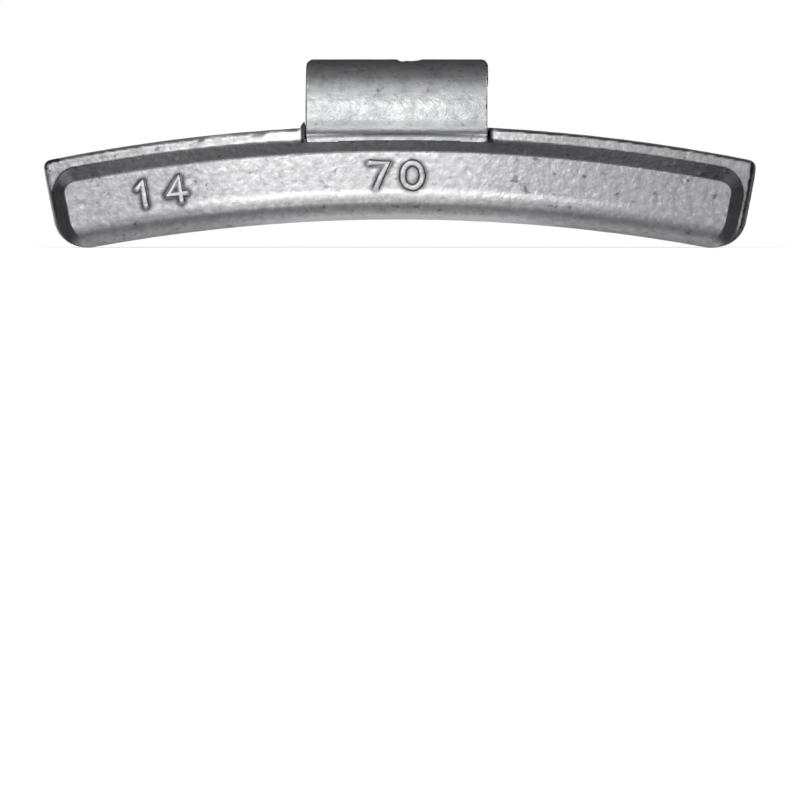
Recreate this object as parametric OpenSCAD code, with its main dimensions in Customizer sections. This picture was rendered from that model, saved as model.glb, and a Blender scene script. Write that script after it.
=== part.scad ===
// Clip-on wheel balance weight: a curved lead casting with a spring steel hook cast into it.
// X runs along the weight, the panel faces -Y, the wheel side faces +Y, +Z points away from the hub.
// It stands on the two ends of its arch, with the origin under the middle of its box.
// Depths are measured from the panel plane towards the wheel, and radii from the wheel's axis.

/* [Casting] */
// Radius of the casting's top, measured from the wheel's axis
top_radius = 198; // [170:1:240]
// Height of the casting, along a radius
body_height = 10.4; // [10:0.1:13]
// Length of the casting across its upper corners, at the parting plane
body_length = 78.2; // [60:0.2:100]
// Depth of the casting, from the panel to the wheel side
body_depth = 8.4; // [7:0.1:10]
// Radius along the lower front edge
lower_edge_radius = 2.65; // [1.8:0.05:3.4]
// Radius along the upper edge on the wheel side
rear_edge_radius = 3.8; // [2:0.1:4.2]
// Radius of the upper corners, seen from the front
upper_corner_radius = 0.9; // [0.4:0.1:2]
// Radius of the lower corners, seen from the front
lower_corner_radius = 3.5; // [2.6:0.1:4.5]
// Draft angle of the two ends behind the parting plane
end_draft = 5; // [0.5:0.5:7]

/* [Raised panel] */
// Depth of the parting plane behind the panel
ledge_depth = 1.5; // [1:0.1:1.9]
// Height of the bare ledge above the bevel
ledge_height = 1.15; // [0.6:0.05:1.6]
// Width of the ledge left at each end
end_ledge = 0.3; // [0.28:0.02:0.6]
// Width of the bevel round the panel, seen from the front
bevel_width = 1.45; // [0.9:0.05:1.8]
// Radius of the bevel's upper corners, at the parting plane
panel_corner_radius = 2.8; // [2:0.1:3.5]
// How far the front half of the mould sat off the rear half
mould_shift = 0.1; // [0:0.05:0.25]

/* [Clip] */
// Width of the steel strip
clip_width = 20; // [16:0.2:30]
// Thickness of the steel strip
clip_thickness = 0.95; // [0.7:0.05:1.2]
// Height of the hook above the middle of the casting's top
hook_height = 7.3; // [7.2:0.1:9]
// Outer radius of the hook's front bend
front_bend_radius = 6; // [5:0.1:6]
// Outer radius of the hook's rear bend
rear_bend_radius = 8.2; // [7:0.1:10]
// Angle that the rear bend turns through
rear_bend_angle = 52; // [40:1:60]
// Depth of the strip's front face behind the panel plane
clip_setback = 0.45; // [0:0.05:0.5]
// How far the clip sits off the middle of the casting
clip_shift = -0.25; // [-2:0.05:2]
// Corner radius at the crest, seen from the front
crest_corner_radius = 0.9; // [0.4:0.1:1.4]
// Corner radius at the hook's free end
tip_corner_radius = 1.6; // [0.8:0.1:3]

/* [Step at the strip's root] */
// How far the strip steps back where it enters the casting
joggle = 1; // [0.8:0.05:1.4]
// Front radius of the step's upper bend
joggle_upper_radius = 2.1; // [1.5:0.1:2.4]
// Front radius of the step's lower bend
joggle_lower_radius = 0.5; // [0.4:0.1:0.8]
// Height above the casting's top where the step begins
joggle_rise = 0.8; // [0.6:0.05:1.15]
// Width of the lead that ran up the strip's left edge
root_run_width = 0.55; // [0.2:0.05:1]
// Height of that lead above the casting's top
root_run_height = 0.8; // [0.3:0.1:1.2]
// Width of the gap that the mould left beside the strip's right edge
root_gap = 0.2; // [0.1:0.05:0.4]

/* [Cast-in tail] */
// Length of the strip's tail below the casting's top
tail_length = 7.8; // [7.6:0.1:8.6]
// Diameter of the anchor holes in the tail
anchor_hole_d = 3; // [1.5:0.1:3.6]
// Distance between the anchor holes
anchor_pitch = 10; // [6:0.2:11]
// Depth of the anchor holes' middle below the casting's top
anchor_drop = 5; // [4.8:0.1:5.4]

/* [Dent in the crest] */
// Depth of the dent
dent_depth = 0.25; // [0.1:0.05:0.4]
// Radius of the dent's steep end
dent_steep_radius = 0.9; // [0.6:0.1:1.5]
// Radius of the dent's gentle end
dent_gentle_radius = 4; // [2.5:0.1:6]
// Distance of the dent's steep end from the strip's middle
dent_offset = 0.6; // [-3:0.1:4]

/* [Hidden] */
$fn = 96;

lead_colour = [0.62, 0.62, 0.65];
steel_colour = [0.80, 0.80, 0.82];

// How far a cutting shape runs past what it cuts
eps = 0.3;
// How far a corner's circle stands past the faces that it rounds, so that it meets them at an angle
bite = 0.04;
// Extra angle that the turned section runs past the ends, before these are shaped
spare_angle = 2;
// Extra angle at which the end outlines leave their upper corners
lift_angle = 4;
// Facets of the posts that the end shapes are spanned between, and of the long turned arcs
post_fn = 48;
arc_fn = 720;
// Facets of each bend of the step at the strip's root
step_facets = 6;

bottom_radius = top_radius - body_height;
bevel_radius = top_radius - ledge_height;
end_angle = asin(body_length / 2 / top_radius);
panel_lower_radius = lower_corner_radius - end_ledge;

// Middle of a corner's circle, at a radius from the wheel's axis and so far inside the end line
function corner(radius, inside) =
    let (angle = end_angle - asin(inside / radius))
    radius * [sin(angle), cos(angle)];

// Middle of the circle over the part's middle that an end outline's upper edge runs to
function peak(from) = [0, from[1] + from[0] * tan(atan(from[0] / from[1]) + lift_angle)];

foot = corner(bottom_radius + lower_corner_radius, lower_corner_radius);
// Height of the wheel's axis in the part's frame, with the feet at zero
axis_z = lower_corner_radius - foot[1];
body_top = top_radius + axis_z;
crest_z = body_top + hook_height;

front_bend = [clip_setback + front_bend_radius, crest_z - front_bend_radius];
rear_bend = [front_bend[0], crest_z - rear_bend_radius];
joggle_radii = joggle_upper_radius + joggle_lower_radius;
joggle_angle = acos(1 - joggle / joggle_radii);
// From the middle of the step's upper bend to that of its lower bend
step_offset = -joggle_radii * [cos(joggle_angle), sin(joggle_angle)];
// Straight lengths of the strip above the step and below it
leg_length = hook_height - front_bend_radius - joggle_rise;
tail_straight = tail_length + joggle_rise + step_offset[1];
tail_front = clip_setback + joggle;

hook_depth = rear_bend[0] + rear_bend_radius * sin(rear_bend_angle);
// Half of the whole part's depth, where the frame's origin lies
mid_depth = max(hook_depth, body_depth) / 2;

// Moves what is drawn in depths from the panel plane into the part's frame
module in_frame() translate([0, -mid_depth, 0]) children();

// Turns a section, drawn as radius and depth, about the wheel's axis
module turned(half_angle) {
    translate([0, 0, axis_z]) rotate([90, 0, 0]) rotate([0, 0, 90 - half_angle])
        rotate_extrude(angle = 2 * half_angle, $fn = arc_fn) mirror([0, 1]) children();
}

// Extrudes an outline, drawn as X and Z, over a range of depths
module over_depth(from, to) {
    translate([0, to, 0]) rotate([90, 0, 0]) linear_extrude(to - from) children();
}

// Extrudes a profile, drawn as depth and Z, over a range of X
module over_width(from, to) {
    translate([from, 0, 0]) rotate([90, 0, 90]) linear_extrude(to - from) children();
}

// What comes off a square corner at the origin, with the material on its positive sides
module edge_cut(r) {
    difference() {
        translate([-eps, -eps]) square(r + eps);
        translate([r, r]) circle(r);
    }
}

// As edge_cut, but with the circle meeting the two sides at an angle
module corner_cut(r) {
    difference() {
        translate([-eps, -eps]) square(r + eps);
        translate([r - bite, r - bite]) circle(r);
    }
}

// Section of the casting, as radius and depth
module casting_section() {
    difference() {
        translate([bottom_radius, 0]) square([body_height, body_depth]);
        polygon([
            [bevel_radius - bevel_width, 0],
            [bevel_radius - bevel_width, -eps],
            [top_radius + eps, -eps],
            [top_radius + eps, ledge_depth],
            [bevel_radius, ledge_depth]
        ]);
        translate([bottom_radius, 0]) edge_cut(lower_edge_radius);
        translate([top_radius, body_depth]) rotate(180) edge_cut(rear_edge_radius);
    }
}

// Pair of posts, one on each side of the middle, that run along the depth and lean out by the draft
module post_pair(at, draft, from, to, r_from, r_to) {
    for (side = [-1, 1])
        translate([side * at[0], ledge_depth, at[1] + axis_z])
            rotate([0, 0, -side * draft]) rotate([-90, 0, 0])
                translate([0, 0, from - ledge_depth])
                    cylinder(h = to - from, r1 = r_from, r2 = r_to, $fn = post_fn);
}

// End shape of the rear half, which widens towards the wheel by its draft
module rear_ends() {
    upper = corner(top_radius - upper_corner_radius, upper_corner_radius);
    ends = [ledge_depth - 2 * eps, body_depth + 2 * eps];
    intersection() {
        hull() {
            post_pair(upper, end_draft, ends[0], ends[1], upper_corner_radius, upper_corner_radius);
            post_pair(foot, end_draft, ends[0], ends[1], lower_corner_radius, lower_corner_radius);
            post_pair(peak(upper), 0, ends[0], ends[1], upper_corner_radius, upper_corner_radius);
        }
        translate([-body_length, ledge_depth, -body_length])
            cube([2 * body_length, body_depth, 2 * body_length]);
    }
}

// Posts of the panel's end shape, from a depth to another, with the bevel's inset at each
module panel_posts(upper, lower, from, to, inset_from, inset_to) {
    for (at = [upper, peak(upper)])
        post_pair(at, 0, from, to, panel_corner_radius - inset_from, panel_corner_radius - inset_to);
    post_pair(lower, 0, from, to, panel_lower_radius - inset_from, panel_lower_radius - inset_to);
}

// End shape of the raised panel, which narrows to the front by its bevel
module panel_ends() {
    upper = corner(bevel_radius - panel_corner_radius, panel_corner_radius + end_ledge);
    lower = corner(bottom_radius + panel_lower_radius, panel_lower_radius + end_ledge);
    full_inset = bevel_width * (1 + eps / ledge_depth);
    translate([-mould_shift, 0, 0]) hull() {
        panel_posts(upper, lower, -eps, ledge_depth, full_inset, 0);
        panel_posts(upper, lower, ledge_depth, ledge_depth + eps, 0, 0);
    }
}

// Lead that ran up the strip's left edge in the mould
module root_run() {
    left = clip_shift - clip_width / 2;
    over_depth(tail_front, ledge_depth + rear_edge_radius / 4) polygon([
        [left, body_top + root_run_height],
        [left - root_run_width, body_top - ledge_height + eps],
        [left - root_run_width, body_top - ledge_height - bevel_width / 2],
        [left, body_top - ledge_height - bevel_width / 2]
    ]);
}

// Gap beside the strip's right edge, open to the front and to the top
module root_slot() {
    translate([clip_shift + clip_width / 2 - eps, -eps, body_top - ledge_height - root_gap])
        cube([root_gap + eps, tail_front + clip_thickness + eps, ledge_height + root_gap + eps]);
}

// The lead casting, with the strip's tail left out of it
module cast_weight() {
    color(lead_colour) in_frame() difference() {
        union() {
            intersection() {
                turned(end_angle + spare_angle) casting_section();
                union() {
                    rear_ends();
                    panel_ends();
                }
            }
            root_run();
        }
        root_slot();
        strip();
    }
}

// Slice of a ring of the strip's thickness, between two angles at most a right angle apart
module bend(outer, from, to) {
    intersection() {
        rotate(270) difference() {
            circle(outer);
            circle(outer - clip_thickness);
        }
        polygon([[0, 0], 2 * outer * [cos(from), sin(from)], 2 * outer * [cos(to), sin(to)]]);
    }
}

// Points of an arc in equal steps, without its first point
function arc(centre, r, from, to) = [
    for (i = [1:step_facets])
        let (angle = from + (to - from) * i / step_facets)
        centre + r * [cos(angle), sin(angle)]
];

// Side profile of the strip, as depth and Z: the hook's two bends, and the leg with its step and tail
module strip_profile() {
    upper = [joggle_upper_radius - front_bend_radius, -leg_length];
    lower = upper + step_offset;
    tail_near = joggle - front_bend_radius;
    tail_far = tail_near + clip_thickness;
    translate(front_bend) {
        translate([0, front_bend_radius - rear_bend_radius])
            bend(rear_bend_radius, 90 - rear_bend_angle, 90);
        bend(front_bend_radius, 90, 180);
        polygon(concat(
            [[-front_bend_radius, 0], [-front_bend_radius, -leg_length]],
            arc(upper, joggle_upper_radius, 180, 180 + joggle_angle),
            arc(lower, joggle_lower_radius, joggle_angle, 0),
            [[tail_near, lower[1] - tail_straight], [tail_far, lower[1] - tail_straight]],
            [[tail_far, lower[1]]],
            arc(lower, joggle_lower_radius + clip_thickness, 0, joggle_angle),
            arc(upper, joggle_upper_radius - clip_thickness, 180 + joggle_angle, 180),
            [[clip_thickness - front_bend_radius, 0]]
        ));
    }
}

// Anchor holes through the tail, which the lead fills
module anchor_holes() {
    for (side = [-1, 1])
        translate([side * anchor_pitch / 2, tail_front + clip_thickness / 2, body_top - anchor_drop])
            rotate([90, 0, 0]) cylinder(h = 3 * clip_thickness, d = anchor_hole_d, center = true);
}

// Dent across the crest, with a steep end and a gentle end
module crest_dent() {
    over_depth(front_bend[0] - front_bend_radius / 2, front_bend[0] + front_bend_radius / 2) {
        translate([dent_offset, crest_z - dent_depth + dent_steep_radius]) circle(dent_steep_radius);
        translate([dent_offset + dent_steep_radius, crest_z - 0.8 * dent_depth + dent_gentle_radius])
            circle(dent_gentle_radius);
    }
}

// What comes off the strip's two corners at its crest
module crest_corners() {
    for (side = [0, 1]) mirror([side, 0, 0])
        over_depth(-eps, body_depth + hook_depth)
            translate([clip_width / 2, crest_z]) rotate(180) corner_cut(crest_corner_radius);
}

// What comes off the strip's two corners at the hook's free end
module tip_corners() {
    for (side = [0, 1]) mirror([side, 0, 0])
        translate([0, rear_bend[0], rear_bend[1]]) rotate([-rear_bend_angle, 0, 0])
            translate([clip_width / 2, 0, rear_bend_radius - 2 * clip_thickness])
                linear_extrude(3 * clip_thickness) rotate(180) corner_cut(tip_corner_radius);
}

// The bent strip, in depths from the panel plane
module strip() {
    translate([clip_shift, 0, 0]) difference() {
        over_width(-clip_width / 2, clip_width / 2) strip_profile();
        anchor_holes();
        crest_dent();
        crest_corners();
        tip_corners();
    }
}

// The spring steel clip
module spring_clip() {
    color(steel_colour) in_frame() strip();
}

cast_weight();
spring_clip();
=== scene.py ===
"""Clip-on wheel balance weight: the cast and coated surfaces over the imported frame.

Lengths are in metres. Depth is measured from the panel plane towards the wheel, and radius from the
wheel's axis.
"""
import math

import bmesh
import bpy
import numpy as np
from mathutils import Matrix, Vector, noise


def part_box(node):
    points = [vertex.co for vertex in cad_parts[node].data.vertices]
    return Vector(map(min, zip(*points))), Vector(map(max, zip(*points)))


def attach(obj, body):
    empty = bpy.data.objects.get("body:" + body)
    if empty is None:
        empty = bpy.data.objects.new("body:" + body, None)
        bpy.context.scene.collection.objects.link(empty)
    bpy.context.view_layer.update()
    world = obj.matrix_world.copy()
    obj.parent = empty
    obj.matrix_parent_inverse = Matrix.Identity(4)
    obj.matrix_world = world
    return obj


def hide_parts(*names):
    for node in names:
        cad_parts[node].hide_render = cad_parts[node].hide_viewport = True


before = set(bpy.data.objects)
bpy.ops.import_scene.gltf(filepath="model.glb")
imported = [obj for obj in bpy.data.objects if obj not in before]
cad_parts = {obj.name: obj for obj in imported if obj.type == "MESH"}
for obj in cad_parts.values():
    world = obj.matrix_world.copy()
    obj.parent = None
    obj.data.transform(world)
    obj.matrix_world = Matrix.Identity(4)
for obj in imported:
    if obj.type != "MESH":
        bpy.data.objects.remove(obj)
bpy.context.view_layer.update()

MM = 0.001

# Where the casting's forms lie, as part.scad has them
PANEL_Y = -6.456 * MM
AXIS_Z = -184.497 * MM
TOP_RADIUS = 198.0 * MM
LEDGE_DEPTH = 1.5 * MM
LEDGE_RADIUS = 196.85 * MM
PANEL_TOP_RADIUS = 195.4 * MM
PANEL_LOW_RADIUS = 190.25 * MM
BOTTOM_RADIUS = 187.6 * MM
LOWER_ROUNDING = 2.65 * MM
END_ANGLE = math.radians(11.39)
CLIP_X = (-10.25 * MM, 9.75 * MM)

# Edge of the even squares that each surface is rebuilt in, and how close corners are joined before that
CASTING_VOXEL = 0.2 * MM
CLIP_VOXEL = 0.13 * MM
JOIN_DISTANCE = 0.002 * MM

# Relief of the cast skin and the size of its lumps, coarse to fine. It is lowered to stay inside the CAD box
COARSE_GRAIN = 0.014 * MM
COARSE_SIZE = 1.7 * MM
FINE_GRAIN = 0.009 * MM
FINE_SIZE = 0.62 * MM
# What the fine relief gains on the rough right half, which begins beside the middle
ROUGH_GRAIN = 0.006 * MM
ROUGH_SIDE_X = (4 * MM, 12 * MM)
PIT_DEPTH = 0.22 * MM
PIT_SIZE = 0.9 * MM
# Noise level above which the skin is pitted
PIT_LEVEL = 0.42
SKIN_ALLOWANCE = 0.02 * MM
# How far the panel lies back, so that the raised numbers stay inside the CAD box
PANEL_SETBACK = 0.14 * MM
# How far wear has lowered the bevel's two edges and the casting's top
PANEL_EDGE_WEAR = 0.32 * MM
LEDGE_EDGE_WEAR = 0.15 * MM
TOP_WEAR = 0.2 * MM
# How far below the bevel's lower edge the wear begins
WEAR_REACH = 2 * MM
# Fin of lead at the parting: its height left and right, depth, thickness, and size of its teeth and breaks
FIN_HEIGHT = (0.1 * MM, 0.22 * MM)
FIN_DEPTH = LEDGE_DEPTH + 0.1 * MM
FIN_THICKNESS = 0.22 * MM
FIN_TEETH = 0.9 * MM
FIN_BREAKS = 6 * MM
# Lead that crept up beside the strip: its height, distance from the strip and width, left and right
LEFT_CREEP = 0.6 * MM
LEFT_CREEP_GAP = 0.35 * MM
LEFT_CREEP_WIDTH = 0.28 * MM
RIGHT_CREEP = 0.2 * MM
RIGHT_CREEP_GAP = 0.35 * MM
RIGHT_CREEP_WIDTH = 0.35 * MM
CREEP_THICKNESS = 0.5 * MM
# Slant at the right end's front edge, as wide as seen from the front, and how much wider it is at the top
RIGHT_SLANT = 0.15 * MM
SLANT_AT_TOP = 0.2 * MM
# How far below the top the slant begins to widen, its depth for its width, and where it begins in depth
SLANT_REACH = 4 * MM
SLANT_STEEPNESS = 2.0
SLANT_DEPTH = 0.8 * LEDGE_DEPTH
# Height and size of the lumps in the strip's coating
COATING_LUMPS = 0.008 * MM
COATING_LUMP_SIZE = 2.6 * MM

# Share of a normal that points one way, where a surface begins to count as facing it and where it fully does
PANEL_FACING = (0.7, 0.95)
LEDGE_FACING = (0.6, 0.9)
BEVEL_FACING = (0.97, 0.84)
TOP_FACING = (0.3, 0.7)
END_SLOPE_FACING = (0.25, 0.6)
END_FACING = (0.45, 0.75)
STRIP_EDGE_FACING = (0.25, 0.6)
STRIP_SIDE_FACING = (0.8, 0.95)

# Tones are painted light and shade, from -1 for full painted shade to 1 for full painted light. Each list
# goes by a place along X, in millimetres
PANEL_TONES = ((-33, -0.13), (-24, -0.08), (-18, 0.15), (6, 0.17), (12, 0.02), (28, -0.17))
LEDGE_TONES = ((-36, -0.22), (-24, 0.0), (-17, 0.1), (-12, 0.6), (10, 0.2), (14, 0.0), (24, -0.15))
PARTING_TONES = ((-38.5, -0.95), (-36, -0.3), (-23, -0.2), (-21, 0.9), (10, 0.3), (13, -0.65), (39, -0.75))
DASH_TONES = ((-25, 0.0), (-22, -1.2), (-15, -1.2), (-14, 0.0))
# How much painted shade darkens each of these places, which turn away from the light or lie in gaps
BEVEL_SHADE = 0.72
BEVEL_SHADE_AT_ENDS = 0.13
BEVEL_SHADE_TO_RIGHT = 0.08
END_SLOPE_SHADE = 0.92
LEFT_END_SHADE = 0.12
RIGHT_END_SHADE = 0.7
SLANT_SHADE = 1.3
CORNER_SHADE = 0.9
CREEP_SHADE = 0.95
NUMBER_SHADE = 0.85
ROUNDING_SHADE = 0.62
# How much brighter the panel's lower edge is under its painted highlight, and the rounding's lit foot under
# its painted light
PANEL_EDGE_HIGHLIGHT = 0.45
LIT_FOOT = 0.45
# The strip's painted light and shade go by height: painted shade below the step and over the crest, and a
# painted highlight on the step itself
STRIP_TONES = ((12.2, -0.3), (12.35, -0.68), (12.55, -0.6), (12.7, 0.7), (13.1, 0.8), (13.5, 0.0),
               (15.0, -0.37), (16.2, -0.37), (16.8, -0.18), (17.5, -0.22), (18.8, -0.62))

# Plain numbers, where the photograph shows cast marks: a mould number and the nominal grams
MARKS = (("14", math.radians(-7.84)), ("70", math.radians(-0.1)))
MARK_RADIUS = 192.5 * MM
DIGIT_SIZE = (2.15 * MM, 2.75 * MM)
DIGIT_STEP = 3.7 * MM
STROKE_WIDTH = 0.82 * MM
STROKE_HEIGHT = 0.15 * MM
STROKE_SIDES = 6
OVAL_POINTS = 32
# Depth of the bars' front, which stays just inside the CAD box, and how uneven the bars are
STROKE_FRONT = 0.01 * MM
STROKE_UNEVEN = 0.09 * MM
STROKE_LUMPS = 0.8 * MM
# Tones of a number's top, a slight painted highlight, and of its flanks, painted shade, and width of the
# painted shade around it
NUMBER_TOP_TONE = 0.12
NUMBER_FLANK_TONE = -0.98
NUMBER_SHADE_WIDTH = 0.24 * MM

WHITE = (1.0, 1.0, 1.0, 1.0)
# Colours that the tones darken towards for painted shade and brighten towards for painted light
PAINTED_SHADE_GREY = (0.022, 0.0225, 0.025, 1.0)
PAINTED_LIGHT_GREY = (0.82, 0.82, 0.83, 1.0)
PIT_GREY = (0.08, 0.08, 0.083, 1.0)
LEAD_DARK = (0.259, 0.26, 0.267, 1.0)
LEAD_LIGHT = (0.402, 0.4, 0.41, 1.0)
LEAD_CLOUD = (0.36, 0.362, 0.372, 1.0)
LEAD_GRAIN = (0.2, 0.202, 0.209, 1.0)
STEEL_DARK = (0.45, 0.454, 0.465, 1.0)
STEEL_LIGHT = (0.62, 0.622, 0.63, 1.0)
STEEL_PATCH = (0.27, 0.273, 0.283, 1.0)

# Size of the pattern in each skin, coarse to fine, and of its pits and specks
CLOUD_SIZE = 9 * MM
MOTTLE_SIZE = 0.9 * MM
PEEL_SIZE = 0.8 * MM
GRAIN_SIZE = 0.32 * MM
BLOTCH_SIZE = 3.2 * MM
PATCH_SIZE = 1.0 * MM
STEEL_GRAIN_SIZE = 0.25 * MM
SPECK_SIZE = 0.95 * MM
# Depth of what is too fine to be modelled
GRAIN_DEPTH = 0.03 * MM
PEEL_DEPTH = 0.13 * MM
STEEL_GRAIN_DEPTH = 0.015 * MM
PATCH_DEPTH = 0.1 * MM

FLOOR_HALF = 6.0
FLOOR_COLOUR = (0.93, 0.93, 0.93, 1.0)
# Share of plain white in the floor as the camera sees it; the rest shows the shadow
FLOOR_WHITE = 0.65
# Brightness of the walls in front and behind, of the walls beside, of the ceiling, and of the upper front
WALL, SIDE_WALL, CEILING, FRONT_SKY = 1.0, 0.5, 0.08, 1.0
# Upward share of a direction where the walls turn into the ceiling, and sideways share where they turn grey
CEILING_TURN = (0.12, 0.32)
SIDE_TURN = (0.72, 0.97)
# Two broad suns, one over each end of the part, and a small soft lamp close in front of it
SIDE_LAMP = {"strength": 1.7, "angle": 45.0, "elevation": 50.0, "forward": 0.15}
FRONT_LAMP = {"place": (-0.022, -0.12, 0.042), "aim": (-0.002, 0.0, 0.008), "size": 0.04, "power": 0.05}

# The photograph's view: a long lens, nearly level, a little from the right
CAMERA_AZIMUTH = 1.0
CAMERA_ELEVATION = 1.5
CAMERA_DISTANCE = 1.0
AIM = Vector((0.04 * MM, 0.0, -16.85 * MM))
LENS = 407.0


def smoothstep(low, high, values):
    """0 at low and 1 at high, whichever of the two is the larger."""
    t = np.clip((values - low) / (high - low), 0.0, 1.0)
    return t * t * (3.0 - 2.0 * t)


def stripe(distance, width):
    """A soft stripe: 1 where the distance is 0, fading within about its width."""
    return np.exp(-(distance / width) ** 2)


def ramp(stops, values):
    """Straight lines through stops, each a place in millimetres and a level."""
    places, levels = zip(*stops)
    return np.interp(values / MM, places, levels)


def noise_at(points, size, seed):
    """Smooth noise from -1 to 1 at each point, with features of about this size."""
    shift = Vector((seed * 17.3, seed * 5.1, seed * 9.7))
    return np.array([noise.noise(Vector(p) / size + shift) for p in points])


def noise_along(x, size, seed):
    """Smooth noise that changes along X only."""
    return noise_at(np.stack([x, 0 * x, 0 * x], 1), size, seed)


def rebuilt(node, name, voxel):
    """A copy of a CAD node's closed surface, rebuilt in even squares, with its edges a little worn."""
    work = bmesh.new()
    work.from_mesh(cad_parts[node].data)
    bmesh.ops.remove_doubles(work, verts=work.verts, dist=JOIN_DISTANCE)
    mesh = bpy.data.meshes.new(name)
    work.to_mesh(mesh)
    work.free()
    mesh.materials.clear()
    piece = bpy.data.objects.new(name, mesh)
    bpy.context.scene.collection.objects.link(piece)
    remesh = piece.modifiers.new("even_squares", "REMESH")
    remesh.mode = "VOXEL"
    remesh.voxel_size = voxel
    worn = piece.modifiers.new("worn_edges", "SMOOTH")
    worn.factor = 0.5
    worn.iterations = 1
    depsgraph = bpy.context.evaluated_depsgraph_get()
    made = bpy.data.meshes.new_from_object(piece.evaluated_get(depsgraph))
    piece.modifiers.clear()
    piece.data = made
    made.name = name
    made.shade_smooth()
    return piece


def surface(piece):
    """Points and normals of a piece's vertices."""
    count = len(piece.data.vertices)
    points = np.empty(count * 3, np.float32)
    normals = np.empty(count * 3, np.float32)
    piece.data.vertices.foreach_get("co", points)
    piece.data.vertex_normals.foreach_get("vector", normals)
    return points.reshape(-1, 3).astype(float), normals.reshape(-1, 3).astype(float)


def put_back(piece, points, low, high):
    """Writes moved vertices, kept inside a box."""
    points = np.clip(points, np.array(low), np.array(high))
    piece.data.vertices.foreach_set("co", points.astype(np.float32).ravel())
    piece.data.update()


def keep_values(piece, name, values):
    """Stores one number per vertex, for the piece's material to read."""
    layer = piece.data.attributes.new(name, "FLOAT", "POINT")
    layer.data.foreach_set("value", values.astype(np.float32))


class Spots:
    """Where the casting's vertices lie and which way they face, as its relief and its tones need to know."""

    def __init__(self, points, normals):
        self.x, y, self.z = points.T
        self.depth = y - PANEL_Y
        self.radius = np.hypot(self.x, self.z - AXIS_Z)
        around = np.arctan2(self.x, self.z - AXIS_Z)
        self.to_right_end = self.radius * (END_ANGLE - around)
        self.to_left_end = self.radius * (END_ANGLE + around)
        self.share = np.abs(around) / END_ANGLE
        level = np.zeros_like(self.x)
        self.outward = np.stack([self.x, level, self.z - AXIS_Z], 1) / self.radius[:, None]
        along = np.stack([self.z - AXIS_Z, level, -self.x], 1) / self.radius[:, None]
        self.faces_front = -normals[:, 1]
        self.faces_out = np.einsum("ij,ij->i", normals, self.outward)
        self.faces_end = np.abs(np.einsum("ij,ij->i", normals, along))

        self.coarse = noise_at(points, COARSE_SIZE, 1)
        self.rough_side = smoothstep(*ROUGH_SIDE_X, self.x)
        self.panel = smoothstep(0.2 * MM, 0.0, self.depth) * smoothstep(*PANEL_FACING, self.faces_front)
        self.above_rounding = smoothstep(PANEL_LOW_RADIUS + 1 * MM, PANEL_LOW_RADIUS + 2 * MM, self.radius)
        self.near_top = smoothstep(TOP_RADIUS - 0.35 * MM, TOP_RADIUS - 0.05 * MM, self.radius)
        self.left_creep = stripe(self.x - CLIP_X[0] + LEFT_CREEP_GAP, LEFT_CREEP_WIDTH)
        self.right_creep = stripe(self.x - CLIP_X[1] - RIGHT_CREEP_GAP, RIGHT_CREEP_WIDTH)
        at_top = smoothstep(TOP_RADIUS - SLANT_REACH, TOP_RADIUS, self.radius)
        self.slant_width = RIGHT_SLANT + SLANT_AT_TOP * at_top
        self.slant_side = (self.x > 0) & (self.depth > SLANT_DEPTH)


def casting_relief(points, normals, spots):
    """The casting's points, moved for its cast skin, wear, parting fin and broken edge."""
    fine = noise_at(points, FINE_SIZE, 2)
    grain = COARSE_GRAIN * spots.coarse + (FINE_GRAIN + ROUGH_GRAIN * spots.rough_side) * fine
    pits = PIT_DEPTH * np.clip(noise_at(points, PIT_SIZE, 3) - PIT_LEVEL, 0.0, 1.0)
    moved = points + normals * (grain - pits - SKIN_ALLOWANCE)[:, None]
    moved[:, 1] += PANEL_SETBACK * spots.panel

    # Ragged fin of lead where the two halves of the mould met, broken off beside the strip
    ragged = np.clip(noise_along(spots.x, FIN_TEETH, 4) + 0.15, 0.0, 1.0)
    ragged *= 0.35 + 0.65 * smoothstep(-0.2, 0.4, noise_along(spots.x, FIN_BREAKS, 5))
    before_clip = smoothstep(CLIP_X[0] - 0.6 * MM, CLIP_X[0] - 1.2 * MM, spots.x)
    after_clip = smoothstep(CLIP_X[1] + 0.5 * MM, CLIP_X[1] + 1.0 * MM, spots.x)
    fin = np.where(spots.x < 0, *FIN_HEIGHT) * ragged * (before_clip + after_clip)
    fin *= stripe(spots.depth - FIN_DEPTH, FIN_THICKNESS)
    creep = LEFT_CREEP * spots.left_creep + RIGHT_CREEP * spots.right_creep
    raised = spots.near_top * (fin + creep * stripe(spots.depth - FIN_DEPTH, CREEP_THICKNESS))

    places = (PANEL_TOP_RADIUS - WEAR_REACH, PANEL_TOP_RADIUS, LEDGE_RADIUS, TOP_RADIUS)
    wear = np.interp(spots.radius, places, (0.0, PANEL_EDGE_WEAR, LEDGE_EDGE_WEAR, TOP_WEAR))
    wear *= smoothstep(LEDGE_DEPTH + 1.5 * MM, LEDGE_DEPTH + 0.3 * MM, spots.depth)
    moved += spots.outward * (raised - wear)[:, None]

    slant = PANEL_Y + LEDGE_DEPTH + SLANT_STEEPNESS * (spots.slant_width - spots.to_right_end)
    on_slant = spots.slant_side & (spots.to_right_end < spots.slant_width)
    moved[:, 1] = np.where(on_slant, np.maximum(moved[:, 1], slant), moved[:, 1])
    return moved


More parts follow.
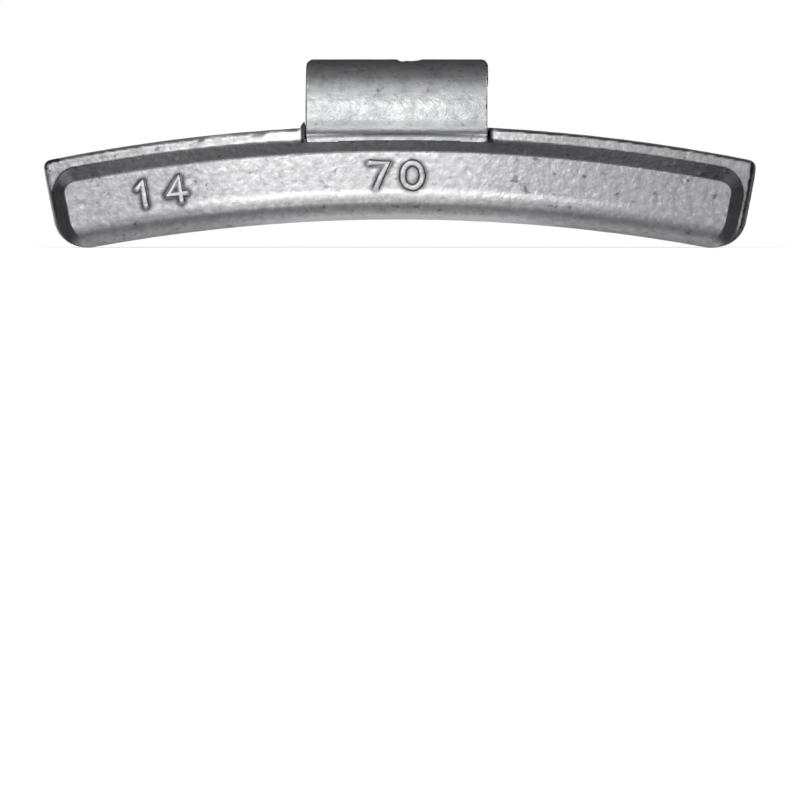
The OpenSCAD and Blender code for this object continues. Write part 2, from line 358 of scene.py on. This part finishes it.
def painted_shade(spots):
    """How dark painted shade makes the slopes round the panel and the two ends, which turn away from the
    light.
    """
    in_front = smoothstep(LEDGE_DEPTH + 0.3 * MM, LEDGE_DEPTH, spots.depth)
    near_end = smoothstep(0.72, 0.95, spots.share)
    to_right = smoothstep(-12 * MM, 12 * MM, spots.x)
    end_slope = smoothstep(*END_SLOPE_FACING, spots.faces_end) * in_front
    upper_slope = BEVEL_SHADE + BEVEL_SHADE_AT_ENDS * near_end + BEVEL_SHADE_TO_RIGHT * to_right
    bevel = np.maximum(spots.above_rounding * upper_slope, END_SLOPE_SHADE * end_slope)
    bevel *= smoothstep(*BEVEL_FACING, spots.faces_front) * in_front

    end_face = smoothstep(*END_FACING, spots.faces_end) * (1.0 - in_front)
    ragged_depth = spots.depth + 0.5 * MM * spots.coarse
    near_parting = smoothstep(LEDGE_DEPTH + 3.0 * MM, LEDGE_DEPTH + 1.2 * MM, ragged_depth)
    right_end = RIGHT_END_SHADE + 0.26 * near_parting + 0.12 * spots.coarse
    left_end = LEFT_END_SHADE + 0.5 * near_parting
    ends = end_face * np.where(spots.x > 0, right_end, left_end)
    slanted = smoothstep(spots.slant_width, 0.75 * spots.slant_width, spots.to_right_end)
    slanted *= SLANT_SHADE * spots.slant_side * near_parting
    return np.maximum.reduce([bevel, ends, slanted])


def rounding_tones(spots):
    """The lower rounding's painted shade, the painted light at its foot, and a painted highlight along the
    line at its top.
    """
    in_middle = smoothstep(0.6, 0.25, spots.share)
    on_rounding = smoothstep(PANEL_LOW_RADIUS + 0.1 * MM, PANEL_LOW_RADIUS - 0.4 * MM, spots.radius)
    on_rounding *= smoothstep(LOWER_ROUNDING + 1.5 * MM, LOWER_ROUNDING, spots.depth)
    on_rounding *= 1.0 - smoothstep(*END_SLOPE_FACING, spots.faces_end)
    shade = (ROUNDING_SHADE - 0.1 * in_middle) * stripe(spots.radius - BOTTOM_RADIUS - 1.5 * MM, 0.75 * MM)
    at_foot = smoothstep(BOTTOM_RADIUS + 1.1 * MM, BOTTOM_RADIUS + 0.2 * MM, spots.radius)
    lit = LIT_FOOT * in_middle * at_foot
    painted_highlight = PANEL_EDGE_HIGHLIGHT * spots.panel * stripe(spots.radius - PANEL_LOW_RADIUS - 0.45 * MM, 0.3 * MM)
    return painted_highlight * smoothstep(0.85, 0.3, spots.share) + on_rounding * (lit - shade)


def ledge_tones(spots):
    """The ledge's painted light and shade, pale at the strip's left, with the parting drawn along its top in
    a dark, broken line of painted shade, brightened with painted light over the strip and to its left.
    """
    on_ledge = smoothstep(0.2 * MM, 0.05 * MM, np.abs(spots.depth - LEDGE_DEPTH))
    on_ledge *= smoothstep(*LEDGE_FACING, spots.faces_front)
    tones = on_ledge * spots.above_rounding * ramp(LEDGE_TONES, spots.x)

    behind_ledge = smoothstep(LEDGE_DEPTH + 1.2 * MM, LEDGE_DEPTH + 0.5 * MM, spots.depth)
    top_edge = smoothstep(*TOP_FACING, spots.faces_out) * behind_ledge * spots.near_top
    broken = 0.3 + 0.7 * smoothstep(-0.1, 0.2, noise_along(spots.x, 2.2 * MM, 9))
    tones += top_edge * ramp(PARTING_TONES, spots.x) * np.where(spots.x < CLIP_X[0], broken, 1.0)

    dashes = stripe(spots.radius - TOP_RADIUS + 0.3 * MM, 0.14 * MM) * (spots.depth < LEDGE_DEPTH + 0.3 * MM)
    dashes *= smoothstep(-0.05, 0.15, noise_along(spots.x, 1.6 * MM, 8))
    tones += dashes * ramp(DASH_TONES, spots.x)

    # Painted shade in the top corner of the left end
    below_top = TOP_RADIUS - spots.radius
    corner = (spots.to_left_end < 1.7 * MM) & (below_top < 0.28 * MM)
    corner |= (spots.to_left_end < 0.28 * MM) & (below_top < 0.9 * MM)
    tones -= CORNER_SHADE * corner * smoothstep(LEDGE_DEPTH + 1.6 * MM, LEDGE_DEPTH + 0.8 * MM, spots.depth)
    return tones


def casting_tones(spots):
    """Painted light and shade of the cast skin at each vertex."""
    # The panel's painted light along X, with painted shade round the raised numbers
    beside_number = distance_to_number(spots.x, spots.z) - STROKE_WIDTH / 2
    panel_tones = ramp(PANEL_TONES, spots.x) - NUMBER_SHADE * stripe(beside_number, NUMBER_SHADE_WIDTH)
    tones = spots.panel * panel_tones + rounding_tones(spots) + ledge_tones(spots)
    # Painted shadow on the lead beside the strip, in the gap between the two parts
    creep = np.maximum(smoothstep(0.4, 0.75, spots.left_creep), smoothstep(0.45, 0.8, spots.right_creep))
    creep *= smoothstep(TOP_RADIUS - 1.5 * MM, TOP_RADIUS - 1.3 * MM, spots.radius)
    creep *= spots.depth < LEDGE_DEPTH + 0.8 * MM
    tones = tones * (1.0 - creep) - CREEP_SHADE * creep
    return np.clip(tones - painted_shade(spots), -1.0, 1.0)


def casting():
    """The lead casting, with its cast skin, parting fin and its painted light and shade."""
    piece = rebuilt("cast_weight", "casting", CASTING_VOXEL)
    points, normals = surface(piece)
    spots = Spots(points, normals)
    put_back(piece, casting_relief(points, normals, spots), *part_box("cast_weight"))
    keep_values(piece, "tone", casting_tones(spots))
    keep_values(piece, "rough_side", spots.rough_side * (0.4 + 0.6 * spots.panel))
    return piece


def clip():
    """The spring steel hook under its coating."""
    piece = rebuilt("spring_clip", "hook", CLIP_VOXEL)
    points, normals = surface(piece)
    lumps = COATING_LUMPS * (noise_at(points, COATING_LUMP_SIZE, 6) - 1.0)
    put_back(piece, points + normals * lumps[:, None], *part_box("spring_clip"))

    # The foot's tones follow the ledge's arc, and those above it are level
    x, y, z = points.T
    level = z + smoothstep(14 * MM, 12.8 * MM, z) * x * x / (2 * TOP_RADIUS)
    sideways = np.abs(normals[:, 0])
    # The strip's rounded edges get painted shade, its sides less, and none towards the hook's free end
    edges = smoothstep(*STRIP_EDGE_FACING, sideways)
    edges *= 1.0 - 0.75 * smoothstep(*STRIP_SIDE_FACING, sideways)
    edges *= smoothstep(7 * MM, 3 * MM, y - PANEL_Y)
    keep_values(piece, "tone", np.clip(ramp(STRIP_TONES, level) - edges, -1.0, 1.0))
    return piece


def number_lines():
    """Middle lines of the numbers' strokes, in X and Z, each with whether it is closed."""
    turns = [2 * math.pi * i / OVAL_POINTS for i in range(OVAL_POINTS)]
    shapes = {
        "0": ([(0.5 * math.cos(t), 0.5 * math.sin(t)) for t in turns], True),
        "1": ([(-0.28, 0.22), (0.06, 0.5), (0.06, -0.5)], False),
        "4": ([(0.2, -0.5), (0.2, 0.5), (-0.5, -0.2), (0.5, -0.2)], False),
        "7": ([(-0.5, 0.5), (0.5, 0.5), (0.1, -0.05), (-0.15, -0.5)], False),
    }
    for digits, middle in MARKS:
        for place, digit in enumerate(digits):
            angle = middle + (place - (len(digits) - 1) / 2) * DIGIT_STEP / MARK_RADIUS
            points, closed = shapes[digit]
            line = []
            for across, up in points:
                side, rise = across * DIGIT_SIZE[0], MARK_RADIUS + up * DIGIT_SIZE[1]
                line.append((rise * math.sin(angle) + side * math.cos(angle),
                             AXIS_Z + rise * math.cos(angle) - side * math.sin(angle)))
            yield line, closed


def distance_to_number(x, z):
    """Distance of each point from the nearest middle line of the numbers, seen from the front."""
    nearest = np.full_like(x, 1.0)
    for points, closed in number_lines():
        ends = points[1:] + points[:1] if closed else points[1:]
        for (ax, az), (bx, bz) in zip(points, ends):
            dx, dz = bx - ax, bz - az
            t = np.clip(((x - ax) * dx + (z - az) * dz) / (dx * dx + dz * dz), 0.0, 1.0)
            nearest = np.minimum(nearest, np.hypot(x - ax - t * dx, z - az - t * dz))
    return nearest


def round_bar(points, closed):
    """A round bar along a line in X and Z, as a mesh."""
    curve = bpy.data.curves.new("stroke", "CURVE")
    curve.dimensions = "3D"
    curve.bevel_depth = STROKE_WIDTH / 2
    curve.bevel_resolution = STROKE_SIDES
    curve.use_fill_caps = True
    line = curve.splines.new("POLY")
    line.points.add(len(points) - 1)
    line.use_cyclic_u = closed
    for at, (px, pz) in zip(line.points, points):
        at.co = (px, 0.0, pz, 1.0)
    shape = bpy.data.objects.new("stroke", curve)
    bpy.context.scene.collection.objects.link(shape)
    bar = bpy.data.meshes.new_from_object(shape.evaluated_get(bpy.context.evaluated_depsgraph_get()))
    bpy.data.objects.remove(shape)
    return bar


def cast_number():
    """The numbers raised on the panel: round bars, flattened and half sunk, with painted shade on their
    flanks.
    """
    joined = bmesh.new()
    for points, closed in number_lines():
        joined.from_mesh(round_bar(points, closed))
    mesh = bpy.data.meshes.new("cast_number")
    joined.to_mesh(mesh)
    joined.free()
    piece = bpy.data.objects.new("cast_number", mesh)
    bpy.context.scene.collection.objects.link(piece)
    points, _ = surface(piece)
    # The bar's round section becomes a low flat-topped one
    reach = np.clip(distance_to_number(points[:, 0], points[:, 2]) / (STROKE_WIDTH / 2), 0.0, 1.0)
    rise = np.sign(points[:, 1]) * (1.0 - reach ** 5)
    points[:, 1] = PANEL_Y + STROKE_FRONT + STROKE_HEIGHT * (1.0 + rise)
    uneven = STROKE_UNEVEN * noise_at(points, STROKE_LUMPS, 7)
    points += uneven[:, None] * np.array([1.0, 0.0, 1.0])
    mesh.vertices.foreach_set("co", points.astype(np.float32).ravel())
    mesh.shade_smooth()
    flank = smoothstep(0.45, 0.8, reach)
    keep_values(piece, "tone", NUMBER_TOP_TONE + (NUMBER_FLANK_TONE - NUMBER_TOP_TONE) * flank)
    return piece


class Nodes:
    """Short names for building a node tree."""

    # A mix node's colour sockets share their names with its sockets of other kinds, so they go by number
    FIRST_COLOUR = 6
    SECOND_COLOUR = 7
    MIXED_COLOUR = 2

    def __init__(self, tree):
        self.tree = tree
        tree.nodes.clear()

    def add(self, kind, **values):
        node = self.tree.nodes.new(kind)
        for name, value in values.items():
            setattr(node, name, value)
        return node

    def link(self, source, target):
        self.tree.links.new(source, target)

    def noise(self, coordinates, size, detail, roughness):
        node = self.add("ShaderNodeTexNoise")
        node.inputs["Scale"].default_value = 1.0 / size
        node.inputs["Detail"].default_value = detail
        node.inputs["Roughness"].default_value = roughness
        self.link(coordinates, node.inputs["Vector"])
        return node.outputs["Fac"]

    def spread(self, value, low, high, to_low=0.0, to_high=1.0, kind="SMOOTHSTEP"):
        node = self.add("ShaderNodeMapRange", interpolation_type=kind)
        for name, number in (("From Min", low), ("From Max", high), ("To Min", to_low), ("To Max", to_high)):
            node.inputs[name].default_value = number
        self.link(value, node.inputs["Value"])
        return node.outputs["Result"]

    def maths(self, operation, first, second):
        node = self.add("ShaderNodeMath", operation=operation)
        for socket, value in zip(node.inputs, (first, second)):
            if isinstance(value, (int, float)):
                socket.default_value = value
            else:
                self.link(value, socket)
        return node.outputs["Value"]

    def mix(self, amount, first, second):
        """The first colour where the amount is 0, and the second where it is 1."""
        node = self.add("ShaderNodeMix", data_type="RGBA")
        self.link(amount, node.inputs["Factor"])
        for number, value in ((self.FIRST_COLOUR, first), (self.SECOND_COLOUR, second)):
            socket = node.inputs[number]
            if isinstance(value, tuple):
                socket.default_value = value
            else:
                self.link(value, socket)
        return node.outputs[self.MIXED_COLOUR]

    def bump(self, height, distance, strength, before=None):
        node = self.add("ShaderNodeBump")
        node.inputs["Distance"].default_value = distance
        node.inputs["Strength"].default_value = strength
        self.link(height, node.inputs["Height"])
        if before is not None:
            self.link(before, node.inputs["Normal"])
        return node.outputs["Normal"]

    def toned_metal(self, skin, metallic):
        """A metal shader of this skin colour, darkened by the piece's painted shade and brightened by its
        painted light.
        """
        tone = self.add("ShaderNodeAttribute", attribute_name="tone").outputs["Fac"]
        skin = self.mix(self.spread(tone, 0.0, -1.0, kind="LINEAR"), skin, PAINTED_SHADE_GREY)
        skin = self.mix(self.spread(tone, 0.0, 1.0, kind="LINEAR"), skin, PAINTED_LIGHT_GREY)
        shader = self.add("ShaderNodeBsdfPrincipled")
        shader.inputs["Metallic"].default_value = metallic
        self.link(skin, shader.inputs["Base Color"])
        # Painted shade stays dark at a grazing view too
        tint = self.mix(self.spread(tone, 0.5, -1.0, kind="LINEAR"), WHITE, PAINTED_SHADE_GREY)
        self.link(tint, shader.inputs["Specular Tint"])
        out = self.add("ShaderNodeOutputMaterial")
        self.link(shader.outputs["BSDF"], out.inputs["Surface"])
        return shader


def lead_material():
    """Cast lead under a thin silver-grey coating: fine grain, small dark pits, and slopes darkened by
    painted shade.
    """
    material = bpy.data.materials.new("coated_lead")
    material.use_nodes = True
    n = Nodes(material.node_tree)
    place = n.add("ShaderNodeTexCoord").outputs["Object"]
    rough_side = n.add("ShaderNodeAttribute", attribute_name="rough_side").outputs["Fac"]
    clouds = n.noise(place, CLOUD_SIZE, 4.0, 0.55)
    mottle = n.noise(place, MOTTLE_SIZE, 5.0, 0.66)
    grain = n.noise(place, GRAIN_SIZE, 3.0, 0.6)
    peel = n.noise(place, PEEL_SIZE, 2.0, 0.5)
    pits = n.spread(n.noise(place, SPECK_SIZE, 3.0, 0.55), 0.61, 0.75, 0.0, 0.75)

    skin = n.mix(n.spread(mottle, 0.28, 0.72), LEAD_DARK, LEAD_LIGHT)
    skin = n.mix(n.spread(clouds, 0.35, 0.7, 0.0, 0.35), skin, LEAD_CLOUD)
    skin = n.mix(n.spread(grain, 0.3, 0.46, 0.2, 0.0), skin, LEAD_GRAIN)
    skin = n.mix(pits, skin, PIT_GREY)
    shader = n.toned_metal(skin, 0.9)
    n.link(n.spread(mottle, 0.3, 0.7, 0.52, 0.42), shader.inputs["Roughness"])
    grained = n.bump(grain, GRAIN_DEPTH, 0.6)
    peel_height = n.maths("MULTIPLY", peel, n.spread(rough_side, 0.0, 1.0, 0.5, 0.85))
    n.link(n.bump(peel_height, PEEL_DEPTH, 1.0, grained), shader.inputs["Normal"])
    return material


def steel_material():
    """Spring steel strip under the same coating: smoother, with soft blotches and a few dark specks."""
    material = bpy.data.materials.new("coated_steel")
    material.use_nodes = True
    n = Nodes(material.node_tree)
    place = n.add("ShaderNodeTexCoord").outputs["Object"]
    blotches = n.noise(place, BLOTCH_SIZE, 5.0, 0.6)
    patches = n.noise(place, PATCH_SIZE, 4.0, 0.6)
    grain = n.noise(place, STEEL_GRAIN_SIZE, 3.0, 0.6)
    specks = n.spread(n.noise(place, SPECK_SIZE, 3.0, 0.55), 0.61, 0.74, 0.0, 0.55)

    skin = n.mix(n.spread(blotches, 0.32, 0.66), STEEL_DARK, STEEL_LIGHT)
    skin = n.mix(n.spread(patches, 0.36, 0.52, 0.35, 0.0), skin, STEEL_PATCH)
    skin = n.mix(specks, skin, PIT_GREY)
    shader = n.toned_metal(skin, 0.95)
    n.link(n.spread(blotches, 0.3, 0.7, 0.45, 0.39), shader.inputs["Roughness"])
    grained = n.bump(grain, STEEL_GRAIN_DEPTH, 0.5)
    n.link(n.bump(patches, PATCH_DEPTH, 0.7, grained), shader.inputs["Normal"])
    return material


def floor_material():
    """A pale floor: white as seen, with a part of the shadow that falls on it."""
    material = bpy.data.materials.new("floor")
    material.use_nodes = True
    n = Nodes(material.node_tree)
    shader = n.add("ShaderNodeBsdfPrincipled")
    shader.inputs["Base Color"].default_value = FLOOR_COLOUR
    shader.inputs["Roughness"].default_value = 0.9
    shader.inputs["Specular IOR Level"].default_value = 0.0
    white = n.add("ShaderNodeEmission")
    ray = n.add("ShaderNodeLightPath")
    mirrored = n.maths("ADD", ray.outputs["Is Glossy Ray"], ray.outputs["Is Transmission Ray"])
    seen = n.maths("ADD", ray.outputs["Is Camera Ray"], mirrored)
    blend = n.add("ShaderNodeMixShader")
    n.link(n.spread(seen, 0.0, 1.0, 0.0, FLOOR_WHITE), blend.inputs["Fac"])
    n.link(shader.outputs["BSDF"], blend.inputs[1])
    n.link(white.outputs["Emission"], blend.inputs[2])
    out = n.add("ShaderNodeOutputMaterial")
    n.link(blend.outputs["Shader"], out.inputs["Surface"])
    return material


def floor():
    """The plane that the part stands on."""
    work = bmesh.new()
    bmesh.ops.create_grid(work, x_segments=1, y_segments=1, size=FLOOR_HALF)
    mesh = bpy.data.meshes.new("floor")
    work.to_mesh(mesh)
    work.free()
    mesh.materials.append(floor_material())
    plane = bpy.data.objects.new("floor", mesh)
    bpy.context.scene.collection.objects.link(plane)


def room():
    """White walls, greyer to the two sides, and a ceiling that is dark except in front."""
    world = bpy.data.worlds.new("room")
    bpy.context.scene.world = world
    world.use_nodes = True
    n = Nodes(world.node_tree)
    way = n.add("ShaderNodeSeparateXYZ")
    n.link(n.add("ShaderNodeTexCoord").outputs["Generated"], way.inputs["Vector"])
    walls = n.spread(n.maths("ABSOLUTE", way.outputs["X"], 0.0), *SIDE_TURN, WALL, SIDE_WALL)
    above = n.spread(way.outputs["Z"], *CEILING_TURN)
    ceiling = n.spread(way.outputs["Y"], 0.0, -1.0, CEILING, FRONT_SKY, kind="LINEAR")
    strength = n.maths("ADD", n.maths("MULTIPLY", walls, n.maths("SUBTRACT", 1.0, above)),
                       n.maths("MULTIPLY", ceiling, above))
    background = n.add("ShaderNodeBackground")
    background.inputs["Color"].default_value = WHITE
    n.link(strength, background.inputs["Strength"])
    out = n.add("ShaderNodeOutputWorld")
    n.link(background.outputs["Background"], out.inputs["Surface"])


def lamp(name, light, place, to_light):
    """Puts a light in the scene. Its direction is given from what it lights, towards the light."""
    holder = bpy.data.objects.new(name, light)
    holder.location = place
    holder.rotation_euler = to_light.to_track_quat("Z", "Y").to_euler()
    bpy.context.scene.collection.objects.link(holder)


def lamps():
    """The two side lamps and the front lamp."""
    rise = math.radians(SIDE_LAMP["elevation"])
    for side in (-1, 1):
        light = bpy.data.lights.new("side_lamp", "SUN")
        light.energy = SIDE_LAMP["strength"]
        light.angle = math.radians(SIDE_LAMP["angle"])
        to_light = Vector((side * math.cos(rise), -SIDE_LAMP["forward"], math.sin(rise)))
        lamp("side_lamp", light, (0.0, 0.0, 0.0), to_light)
    light = bpy.data.lights.new("front_lamp", "AREA")
    light.shape = "DISK"
    light.size = FRONT_LAMP["size"]
    light.energy = FRONT_LAMP["power"]
    to_light = Vector(FRONT_LAMP["place"]) - Vector(FRONT_LAMP["aim"])
    lamp("front_lamp", light, FRONT_LAMP["place"], to_light)


def camera():
    """A long lens that looks at the photograph's middle."""
    data = bpy.data.cameras.new("camera")
    data.sensor_width = 36.0
    data.lens = LENS
    data.clip_start, data.clip_end = 0.01, 100.0
    cam = bpy.data.objects.new("camera", data)
    a, e = math.radians(CAMERA_AZIMUTH), math.radians(CAMERA_ELEVATION)
    back = Vector((math.sin(a) * math.cos(e), -math.cos(a) * math.cos(e), math.sin(e)))
    cam.location = AIM + back * CAMERA_DISTANCE
    cam.rotation_euler = (-back).to_track_quat("-Z", "Y").to_euler()
    bpy.context.scene.collection.objects.link(cam)
    bpy.context.scene.camera = cam


camera()
floor()
room()
lamps()

lead = lead_material()
steel = steel_material()

body = casting()
body.data.materials.append(lead)
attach(body, "root")
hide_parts("cast_weight")

number = cast_number()
number.data.materials.append(lead)
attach(number, "root")

hook = clip()
hook.data.materials.append(steel)
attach(hook, "root")
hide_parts("spring_clip")

bpy.context.scene.view_settings.view_transform = "Standard"
